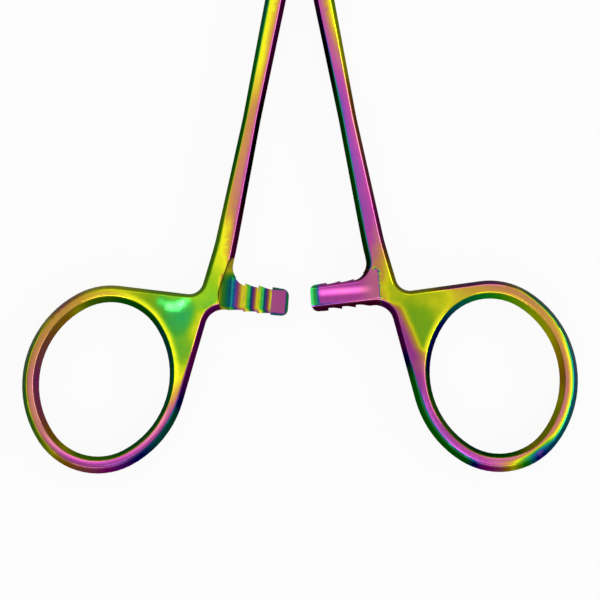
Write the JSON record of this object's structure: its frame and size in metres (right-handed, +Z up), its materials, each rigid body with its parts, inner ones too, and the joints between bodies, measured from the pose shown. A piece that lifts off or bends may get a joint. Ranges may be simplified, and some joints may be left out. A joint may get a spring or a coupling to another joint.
{
  "type": "hemostat forceps",
  "caption": "Straight locking forceps in rainbow-coated steel: crossed halves turn in a box lock, with serrated jaws, a ratchet and finger rings, shown part open.",
  "frame": {"origin": "pivot axis at the underside of the box lock", "axes": "+Y towards the jaw tips, -Y towards the finger rings, +Z up out of the flat of the forceps, +X to the right seen from above"},
  "size_m": [0.0847, 0.1241, 0.0046],
  "materials": {
    "rainbow_steel": "mirror polished stainless steel with an iridescent rainbow oxide coat"
  },
  "bodies": {
    "box_side": {"female_half": "rainbow_steel", "pivot_pin": "rainbow_steel"},
    "tongue_side": {"male_half": "rainbow_steel"}
  },
  "joints": [
    {"name": "lock_pivot", "type": "hinge", "parent": "box_side", "child": "tongue_side", "pos_m": [0, 0, 0], "axis": [0, 0, 1], "range_deg": [-8.8, 40]}
  ]
}
